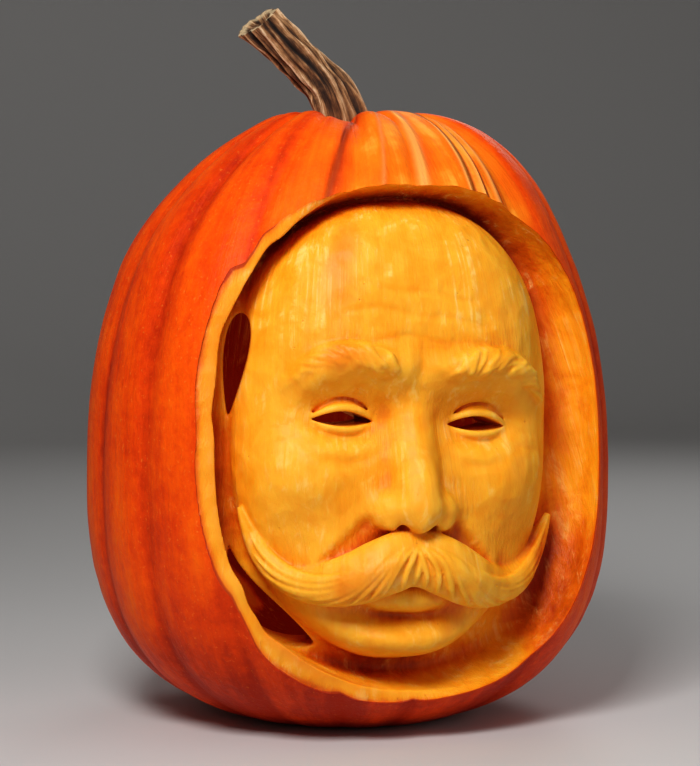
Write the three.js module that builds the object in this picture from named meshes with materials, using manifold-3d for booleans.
// A carved pumpkin lantern: a tall hollow pumpkin with its stem. An oval window is cut into the front of
// the thick wall, and a calm man's face with a handlebar moustache is carved out of the flesh behind it.
// A groove parts the face from the rim of the window. Slits in the eyes and two gaps beside the face
// open into the hollow.
//
// Millimetres, +Z up, the face looks along -Y. The origin is on the table under the pumpkin's middle.
// In the plane of the face, x runs to the viewer's right and z up, and "front" is the distance
// forwards of the pumpkin's axis, so that front = -y.

import * as THREE from 'three';
import { mergeVertices } from 'three/addons/utils/BufferGeometryUtils.js';
import Module from 'manifold-3d';

const wasm = await Module();
wasm.setup();

// ---- driving dimensions ----
const BODY = { radius: 151, widest: 136, shoulder: 352, lowPower: 2.65, highPower: 2.28, backShare: 0.98 };
// One shoulder is fuller than the other: the outline above the middle is drawn over by this much.
const LEAN = { x: 9, y: -3, from: 255, over: 90 };
const RIBS = { count: 15, depth: 0.034, atCrown: 2.6, atFoot: 1.1, atWaist: 0.7, uneven: 0.5, turn: 0.21 };
const CROWN = { depth: 18, spread: 27, folds: 4, foldSpread: 65 };
// The deepest fold of the crown runs from the stem down to the window. Its angle is from the face's middle.
const FOLD = { at: -26, width: 13, depth: 8, spread: 80 };
const FOOT = { depth: 14, spread: 25, sink: 5 };
const HOLLOW = { radius: 114, widest: 135, low: 34, top: 318, flatten: 0.68 };
const WINDOW = { x: 1, z: 162.5, halfWidth: 116.5, halfHeight: 139, power: 2.45 };
const RIM = { ledge: 10, ledgeDrop: 4, footLeft: 13, footRight: 20, over: 6 };
const GROOVE = { depth: 48, wall: 14 };
const HEAD = { middle: 165, top: 294, chin: 42, halfWidth: 90, edgePower: 2.5, tilt: 3 };
// The head's outline is a superellipse in each half: powers of x and of z.
const CRANIUM = { across: 2.3, up: 2.9 };
const JAW = { across: 1.7, up: 2.4 };
const EYE = { x: 38, z: 173, halfWidth: 17, halfHeight: 5.2, lowerShare: 0.55 };
const GAPS = {
  back: 8,
  front: 92,
  lean: 0.26,
  middle: 76,
  leaves: [
    { from: [-84, 230], bend: [-89, 204], to: [-92, 176], width: 14, fullest: 0.3 },
    { from: [-92, 108], bend: [-86, 66], to: [-44, 52], width: 20, fullest: 0.6 },
  ],
};
// Half the moustache from the middle of the lip to its tip: [x, z, front, half height, half depth].
// The left half is a little shorter than the right one.
const MOUSTACHE = {
  sides: 10,
  leftShare: 0.92,
  stations: [
    [-5, 103, 124, 14, 9], [8, 101.5, 127, 15.5, 10.5], [20, 97, 126, 15.5, 11], [33, 91, 122, 14.5, 11],
    [46, 87, 115, 12.5, 10], [59, 87, 106, 10.5, 9], [71, 92, 98, 9, 7.5], [81, 102, 91, 7, 6],
    [88, 114, 87, 4.6, 4], [93, 124, 84, 2, 2],
  ],
};
const STEM = {
  route: [[0, 0, 318], [-1.5, 0, 338], [-10.5, 3, 359], [-22, 4.5, 372], [-36, 5, 384.5], [-53, 5, 397.5]],
  radii: [[0, 17], [0.2, 14.5], [0.5, 12], [0.8, 12], [1, 13.5]],
  sides: 20,
  steps: 12,
  ridges: 5,
  ridge: 0.1,
  twist: 1.2,
  pithShare: 0.7,
  pithDepth: 3,
};
// Strips shaved off the skin above the window, between these angles from the face's middle, in degrees.
const SHAVED = { edges: [-40, -26, -10.5, 3, 17.5, 22.5, 28.5, 42], depth: 3.2, low: 262, fade: 26 };
const GAP = 0.3;
// Edges shorter than this, left by the cuts, are merged away.
const SLIVER = 0.1;

// How fine the faceted surfaces are.
const BODY_SIDES = 76;
const BODY_RINGS = 22;
const HOLLOW_SIDES = 32;
const HOLLOW_RINGS = 14;
const FACE_SIDES = 72;
const FACE_RINGS = 20;

// ---- small helpers ----
const clamp01 = (t) => Math.min(1, Math.max(0, t));
const smooth = (t) => clamp01(t) ** 2 * (3 - 2 * clamp01(t));
const mix = (a, b, t) => a + (b - a) * t;
const signedPower = (v, p) => Math.sign(v) * Math.abs(v) ** p;
const mound = (dx, dz, sx, sz) => Math.exp(-((dx / sx) ** 2) - (dz / sz) ** 2);

// A smooth curve through [place, value] points, read at one place.
function through(points, place) {
  const last = points.length - 1;
  if (place <= points[0][0]) return points[0][1];
  if (place >= points[last][0]) return points[last][1];
  const i = points.findIndex((p) => p[0] > place) - 1;
  const slope = (k) => {
    const a = points[Math.max(0, k - 1)];
    const b = points[Math.min(last, k + 1)];
    return (b[1] - a[1]) / (b[0] - a[0]);
  };
  const [x0, y0] = points[i];
  const [x1, y1] = points[i + 1];
  const w = x1 - x0;
  const t = (place - x0) / w;
  const rise = (2 * t ** 3 - 3 * t ** 2 + 1) * y0 + (3 * t ** 2 - 2 * t ** 3) * y1;
  return rise + w * ((t ** 3 - 2 * t ** 2 + t) * slope(i) + (t ** 3 - t ** 2) * slope(i + 1));
}

// A closed surface from rings of equal length that run clockwise, seen from the last ring.
// The first and the last ring are single points. Each square is split along its shorter diagonal.
function ringGeometry(rings) {
  const n = rings[1].length;
  const points = rings.flat();
  const index = [];
  const last = rings.length - 1;
  const at = (ring, k) => 1 + (ring - 1) * n + (k % n);
  const apart = (i, j) => points[i].distanceToSquared(points[j]);
  for (let k = 0; k < n; k++) {
    index.push(0, at(1, k), at(1, k + 1));
    index.push(points.length - 1, at(last - 1, k + 1), at(last - 1, k));
  }
  for (let ring = 1; ring < last - 1; ring++)
    for (let k = 0; k < n; k++) {
      const [a, b] = [at(ring, k), at(ring, k + 1)];
      const [c, d] = [at(ring + 1, k), at(ring + 1, k + 1)];
      if (apart(b, c) < apart(a, d)) index.push(a, c, b, b, c, d);
      else index.push(a, c, d, a, d, b);
    }
  return new THREE.BufferGeometry().setFromPoints(points).setIndex(index);
}

// three.js geometry to a solid for cutting and joining, and back.
function toSolid(geometry) {
  const bare = geometry.clone();
  bare.deleteAttribute('normal');
  bare.deleteAttribute('uv');
  const merged = mergeVertices(bare, 1e-3);
  return new wasm.Manifold(new wasm.Mesh({
    numProp: 3,
    vertProperties: merged.attributes.position.array,
    triVerts: new Uint32Array(merged.index.array),
  }));
}

function toGeometry(solid) {
  const { numProp, vertProperties, triVerts } = solid.simplify(SLIVER).getMesh();
  const position = new Float32Array((vertProperties.length / numProp) * 3);
  for (let i = 0; i * numProp < vertProperties.length; i++)
    position.set(vertProperties.subarray(i * numProp, i * numProp + 3), i * 3);
  const geometry = new THREE.BufferGeometry();
  geometry.setAttribute('position', new THREE.BufferAttribute(position, 3));
  return geometry.setIndex(new THREE.BufferAttribute(triVerts, 1));
}

// ---- the pumpkin's skin ----
// The plain outline without ribs: radius at a height.
function bodyRadius(z) {
  const high = z > BODY.widest;
  const reach = high ? BODY.shoulder - BODY.widest : BODY.widest + FOOT.sink;
  const power = high ? BODY.highPower : BODY.lowPower;
  const t = Math.min(1, Math.abs(z - BODY.widest) / reach);
  return BODY.radius * (1 - t ** power) ** (1 / power);
}

// How far forward the plain outline reaches at a place in the plane of the face.
function skinFront(x, z) {
  const lean = smooth((z - LEAN.from) / LEAN.over);
  return Math.sqrt(Math.max(0, bodyRadius(z) ** 2 - (x - LEAN.x * lean) ** 2)) - LEAN.y * lean;
}

// Lobes of uneven width, with narrow valleys between them: 0 on a lobe and 1 in a valley.
function valley(angle) {
  const uneven = 0.16 * Math.sin(3 * angle + 0.7) + 0.1 * Math.sin(5 * angle + 2.1);
  const warped = angle + RIBS.turn + RIBS.uneven * uneven;
  return (1 - Math.abs(Math.sin((RIBS.count * warped) / 2))) ** 1.6;
}

// The angle from the face's middle, in degrees from -180 to 180.
const { euclideanModulo, radToDeg } = THREE.MathUtils;
const angleFromFace = (around) => euclideanModulo(radToDeg(around) + 270, 360) - 180;

// The scallops left by shaving: 0 along the raised edges and 1 in the middle of a strip.
function shaving(around, z) {
  const fromFace = angleFromFace(around);
  const next = SHAVED.edges.findIndex((edge) => edge > fromFace);
  if (next < 1) return 0;
  const share = (fromFace - SHAVED.edges[next - 1]) / (SHAVED.edges[next] - SHAVED.edges[next - 1]);
  return Math.sqrt(4 * share * (1 - share)) * smooth((z - SHAVED.low) / SHAVED.fade);
}

function skinPoint(around, up) {
  const high = up > 0;
  const power = high ? BODY.highPower : BODY.lowPower;
  const reach = high ? BODY.shoulder - BODY.widest : BODY.widest + FOOT.sink;
  const plain = BODY.radius * Math.cos(up) ** (2 / power);
  const pole = Math.abs(Math.sin(up)) ** 3;
  const bell = (v) => Math.exp(-(v ** 2));
  const lobes = mix(RIBS.atWaist, high ? RIBS.atCrown : RIBS.atFoot, pole);
  const ribbed = plain * (1 - RIBS.depth * lobes * valley(around));
  const fold = FOLD.depth * bell(plain / FOLD.spread) * bell((angleFromFace(around) - FOLD.at) / FOLD.width);
  const folds = CROWN.folds * bell(plain / CROWN.foldSpread) * valley(around);
  const crown = CROWN.depth * bell(plain / CROWN.spread) + folds + fold;
  const foot = FOOT.depth * bell(plain / FOOT.spread);
  const z = BODY.widest + reach * signedPower(Math.sin(up), 2 / power) + (high ? -crown : foot);
  const out = ribbed - SHAVED.depth * shaving(around, z) * smooth((plain - 30) / 30);
  const lean = smooth((z - LEAN.from) / LEAN.over) * smooth((plain - 20) / 50);
  return new THREE.Vector3(
    out * Math.cos(around) + LEAN.x * lean,
    out * Math.sin(around) * (Math.sin(around) > 0 ? BODY.backShare : 1) + LEAN.y * lean,
    Math.max(0, z),
  );
}

function skinSolid() {
  const rings = [];
  for (let i = 0; i <= BODY_RINGS; i++) {
    const up = Math.PI * (i / BODY_RINGS - 0.5);
    const pole = i === 0 || i === BODY_RINGS;
    const sides = pole ? 1 : BODY_SIDES;
    rings.push([...Array(sides).keys()].map((k) => skinPoint((-2 * Math.PI * k) / BODY_SIDES, up)));
  }
  return toSolid(ringGeometry(rings));
}

// ---- the hollow inside ----
function hollowRadius(z) {
  const reach = z > HOLLOW.widest ? HOLLOW.top - HOLLOW.widest : HOLLOW.widest - HOLLOW.low;
  const t = Math.min(1, Math.abs(z - HOLLOW.widest) / reach);
  return HOLLOW.radius * (1 - t ** BODY.highPower) ** (1 / BODY.highPower);
}

const hollowFront = (x, z) => HOLLOW.flatten * Math.sqrt(Math.max(0, hollowRadius(z) ** 2 - x ** 2));

function hollowSolid() {
  const rings = [];
  for (let i = 0; i <= HOLLOW_RINGS; i++) {
    const up = Math.PI * (i / HOLLOW_RINGS - 0.5);
    const reach = up > 0 ? HOLLOW.top - HOLLOW.widest : HOLLOW.widest - HOLLOW.low;
    const z = HOLLOW.widest + reach * signedPower(Math.sin(up), 2 / BODY.highPower);
    const radius = HOLLOW.radius * Math.cos(up) ** (2 / BODY.highPower);
    const pole = i === 0 || i === HOLLOW_RINGS;
    const ring = [];
    for (let k = 0; k < (pole ? 1 : HOLLOW_SIDES); k++) {
      const around = (-2 * Math.PI * k) / HOLLOW_SIDES;
      const y = radius * Math.sin(around);
      ring.push(new THREE.Vector3(radius * Math.cos(around), y < 0 ? y * HOLLOW.flatten : y, z));
    }
    rings.push(ring);
  }
  return toSolid(ringGeometry(rings));
}

// ---- the carved face ----
// The floor of the groove: a fixed depth under the skin, or a fixed wall in front of the hollow.
const grooveFront = (x, z) => Math.max(skinFront(x, z) - GROOVE.depth, hollowFront(x, z) + GROOVE.wall);

// Half the head's width at a height: a broad brow over a jaw that narrows to a round chin.
function headHalfWidth(z) {
  const high = z > HEAD.middle;
  const reach = high ? HEAD.top - HEAD.middle : HEAD.middle - HEAD.chin;
  const t = clamp01(Math.abs(z - HEAD.middle) / reach);
  const { across, up } = high ? CRANIUM : JAW;
  return HEAD.halfWidth * (1 - t ** up) ** (1 / across);
}

// The head leans a little: a point of the upright head, moved to where it is in the plane of the face.
function tilted(p) {
  const turn = THREE.MathUtils.degToRad(-HEAD.tilt);
  return p.clone().rotateAround(new THREE.Vector2(0, HEAD.middle), turn);
}

// The head's side view on its middle line, without the nose: [height, front].
const HEAD_PROFILE = [
  [42, 80], [49, 110], [57, 118], [71, 111], [84, 115], [112, 117], [150, 116],
  [177, 114], [197, 121], [225, 121], [255, 115], [275, 103], [284, 90], [288, 76],
];
// The ridge of the nose above that line: [height, rise].
const NOSE_RIDGE = [[114, 0], [119, 12], [124, 22], [131, 26], [140, 23], [160, 12], [178, 3], [190, 0]];

function noseRise(x, z) {
  const halfWidth = mix(16, 11, smooth((z - 128) / 50));
  const ridge = through(NOSE_RIDGE, z) * Math.exp(-(Math.abs(x / halfWidth) ** 2.4));
  const wing = 9 * mound(Math.abs(x) - 14.5, z - 124, 6, 7);
  return ridge + wing;
}

function browRise(x, z) {
  const along = (Math.abs(x) - 9) / 60;
  const height = 200 + 5 * Math.sin(Math.PI * clamp01(along)) - 6 * clamp01(along);
  return 5 * Math.exp(-(((z - height) / 7.5) ** 2)) * smooth(along * 5 + 0.8) * smooth((1 - along) * 4);
}

function eyeRise(x, z) {
  const dx = Math.abs(x) - EYE.x;
  const dz = z - EYE.z;
  const socket = -9 * Math.exp(-(((dx / 25) ** 2 + ((dz - 3) / 15) ** 2) ** 1.4));
  const ball = Math.sqrt(Math.max(0, 21 ** 2 - (0.9 * dx) ** 2 - (1.15 * dz) ** 2)) - 12.5;
  return socket + Math.max(0, ball);
}

function mouthRise(x, z) {
  const lip = 6 * mound(x, z - 80, 24, 6);
  const cheekbones = 6 * mound(Math.abs(x) - 58, z - 146, 22, 20);
  const cheekHollows = -4 * mound(Math.abs(x) - 62, z - 108, 16, 18);
  return lip + cheekbones + cheekHollows + 3 * mound(x, z - 56, 20, 10);
}

// The face's front at a place on the upright head.
function faceFront(x, z) {
  const place = tilted(new THREE.Vector2(x, z));
  const floor = grooveFront(place.x, place.y);
  const across = clamp01(Math.abs(x) / Math.max(1e-6, headHalfWidth(z)));
  const round = Math.sqrt(1 - across ** HEAD.edgePower);
  const features = noseRise(x, z) + browRise(x, z) + eyeRise(x, z) + mouthRise(x, z);
  return floor + Math.max(0, through(HEAD_PROFILE, z) - floor) * round + features * smooth(round * 1.8);
}

// Points of the head's outline and of the window's outline, at an angle round the face.
function headOutline(angle) {
  const [c, s] = [Math.cos(angle), Math.sin(angle)];
  const high = s > 0;
  const reach = high ? HEAD.top - HEAD.middle : HEAD.middle - HEAD.chin;
  const { across, up } = high ? CRANIUM : JAW;
  const x = HEAD.halfWidth * signedPower(c, 2 / across);
  return new THREE.Vector2(x, HEAD.middle + reach * signedPower(s, 2 / up));
}

function windowOutline(angle, inset) {
  const x = (WINDOW.halfWidth - inset) * signedPower(Math.cos(angle), 2 / WINDOW.power);
  const z = (WINDOW.halfHeight - inset) * signedPower(Math.sin(angle), 2 / WINDOW.power);
  return new THREE.Vector2(WINDOW.x + x, WINDOW.z + z);
}

// What is cut away from the front: its back is the face, the groove and the slanting rim.
function carvingSolid() {
  const toSpace = (p, front) => new THREE.Vector3(p.x, -front, p.y);
  const angles = [...Array(FACE_SIDES).keys()].map((k) => (-2 * Math.PI * k) / FACE_SIDES);
  const ringAt = (place) => angles.map(place);
  const centre = new THREE.Vector2(0, HEAD.middle);
  const rings = [[toSpace(centre, faceFront(centre.x, centre.y))]];
  for (let i = 1; i <= FACE_RINGS; i++) {
    const out = 1 - (1 - i / FACE_RINGS) ** 1.25;
    rings.push(ringAt((a) => {
      const p = centre.clone().lerp(headOutline(a), out);
      return toSpace(tilted(p), faceFront(p.x, p.y));
    }));
  }
  const footInset = (a) => mix(RIM.footLeft, RIM.footRight, smooth(Math.cos(a)));
  rings.push(ringAt((a) => {
    const p = windowOutline(a, footInset(a));
    const inner = tilted(headOutline(a));
    const hasRoom = p.distanceTo(centre) > inner.distanceTo(centre) + 1;
    const foot = hasRoom ? p : inner.lerp(windowOutline(a, 0), 0.2);
    return toSpace(foot, grooveFront(foot.x, foot.y));
  }));
  rings.push(ringAt((a) => {
    const edge = windowOutline(a, 0);
    return toSpace(windowOutline(a, RIM.ledge), skinFront(edge.x, edge.y) - RIM.ledgeDrop);
  }));
  rings.push(ringAt((a) => {
    const edge = windowOutline(a, 0);
    return toSpace(windowOutline(a, -RIM.over), skinFront(edge.x, edge.y) + RIM.over);
  }));
  const clear = BODY.radius + 20;
  rings.push(ringAt((a) => toSpace(windowOutline(a, -RIM.over), clear)));
  rings.push([toSpace(centre, clear)]);
  return toSolid(ringGeometry(rings));
}

// ---- holes into the hollow ----
// A straight cutter between two fronts. It leans so that it drifts across by lean for each mm of depth.
function loftCutter(outline, back, front, lean, middle) {
  const centre = outline.reduce((sum, p) => sum.add(p), new THREE.Vector2()).divideScalar(outline.length);
  const at = (p, depth) => new THREE.Vector3(p.x + (middle - depth) * lean, -depth, p.y);
  const ring = (depth) => outline.map((p) => at(p, depth));
  return toSolid(ringGeometry([[at(centre, back)], ring(back), ring(front), [at(centre, front)]]));
}

// The slit between the lids: its upper edge is arched more than its lower one.
function eyeSlit(side) {
  const steps = 24;
  const outline = [];
  for (let k = 0; k < steps; k++) {
    const a = (-2 * Math.PI * k) / steps;
    const rise = EYE.halfHeight * Math.sin(a) * (Math.sin(a) > 0 ? 1 : EYE.lowerShare);
    outline.push(tilted(new THREE.Vector2(side * EYE.x + EYE.halfWidth * Math.cos(a), EYE.z + rise)));
  }
  return loftCutter(outline, 20, BODY.radius, 0, 0);
}

// A leaf-shaped gap along a bend, as wide as said at its fullest share of the way.
function leafGap({ from, bend, to, width, fullest }) {
  const path = new THREE.QuadraticBezierCurve(...[from, bend, to].map((p) => new THREE.Vector2(...p)));
  const steps = 20;
  const outline = [];
  for (let k = 0; k < steps; k++) {
    const a = (2 * Math.PI * k) / steps;
    const t = ((1 - Math.cos(a)) / 2) ** (Math.log(fullest) / Math.log(0.5));
    const along = path.getTangent(t);
    const across = new THREE.Vector2(-along.y, along.x);
    outline.push(path.getPoint(t).addScaledVector(across, (width / 2) * signedPower(Math.sin(a), 1.2)));
  }
  return loftCutter(outline, GAPS.back, GAPS.front, GAPS.lean, GAPS.middle);
}

// ---- the moustache ----
// One half, swept from the middle of the lip to its upturned tip.
function moustacheSolid(side) {
  const reach = side < 0 ? MOUSTACHE.leftShare : 1;
  const rings = MOUSTACHE.stations.map(([x, z, front, halfHeight, halfDepth], i, all) => {
    const before = all[Math.max(0, i - 1)];
    const after = all[Math.min(all.length - 1, i + 1)];
    const along = new THREE.Vector2(after[0] - before[0], after[1] - before[1]).normalize();
    const ring = [];
    for (let k = 0; k < MOUSTACHE.sides; k++) {
      const a = (-side * 2 * Math.PI * k) / MOUSTACHE.sides;
      const up = halfHeight * Math.cos(a);
      const out = halfDepth * Math.sin(a);
      const p = tilted(new THREE.Vector2(side * reach * (x - along.y * up), z + along.x * up));
      ring.push(new THREE.Vector3(p.x, -(front + out), p.y));
    }
    return ring;
  });
  const pole = ([x, z, front], beyond) => {
    const p = tilted(new THREE.Vector2(side * reach * (x + beyond), z));
    return [new THREE.Vector3(p.x, -front, p.y)];
  };
  const last = MOUSTACHE.stations[MOUSTACHE.stations.length - 1];
  return toSolid(ringGeometry([pole(MOUSTACHE.stations[0], -3), ...rings, pole(last, 1)]));
}

// ---- the stem ----
function stemSolid() {
  const path = new THREE.CatmullRomCurve3(STEM.route.map((p) => new THREE.Vector3(...p)));
  const frames = path.computeFrenetFrames(STEM.steps, false);
  const rings = [[path.getPointAt(0)]];
  const ringAt = (t, scale, sink) => {
    const i = Math.round(t * STEM.steps);
    const centre = path.getPointAt(t).addScaledVector(frames.tangents[i], -sink);
    const radius = through(STEM.radii, t) * scale;
    const ring = [];
    for (let k = 0; k < STEM.sides; k++) {
      const a = (-2 * Math.PI * k) / STEM.sides;
      const ridged = radius * (1 + STEM.ridge * Math.cos(STEM.ridges * a + STEM.twist * t));
      const out = centre.clone().addScaledVector(frames.normals[i], ridged * Math.cos(a));
      ring.push(out.addScaledVector(frames.binormals[i], ridged * Math.sin(a)));
    }
    return ring;
  };
  for (let i = 0; i <= STEM.steps; i++) rings.push(ringAt(i / STEM.steps, 1, 0));
  rings.push(ringAt(1, STEM.pithShare, STEM.pithDepth));
  rings.push([path.getPointAt(1).addScaledVector(frames.tangents[STEM.steps], -STEM.pithDepth)]);
  return toSolid(ringGeometry(rings));
}

// ---- the pieces ----
function pumpkinSolid(skin) {
  let solid = skin.subtract(hollowSolid()).subtract(carvingSolid());
  for (const side of [-1, 1]) solid = solid.add(moustacheSolid(side)).subtract(eyeSlit(side));
  for (const gap of GAPS.leaves) solid = solid.subtract(leafGap(gap));
  return solid;
}

function piece(name, solid, colour, roughness) {
  const mesh = new THREE.Mesh(
    toGeometry(solid),
    new THREE.MeshStandardMaterial({ color: colour, roughness, metalness: 0 }),
  );
  mesh.name = name;
  return mesh;
}

const skin = skinSolid();
const lantern = new THREE.Group();
lantern.add(piece('pumpkin', pumpkinSolid(skin), 0xe8781c, 0.45));
lantern.add(piece('stem', stemSolid().subtract(skin.translate(0, 0, GAP)), 0x9c7a55, 0.85));

export default lantern;
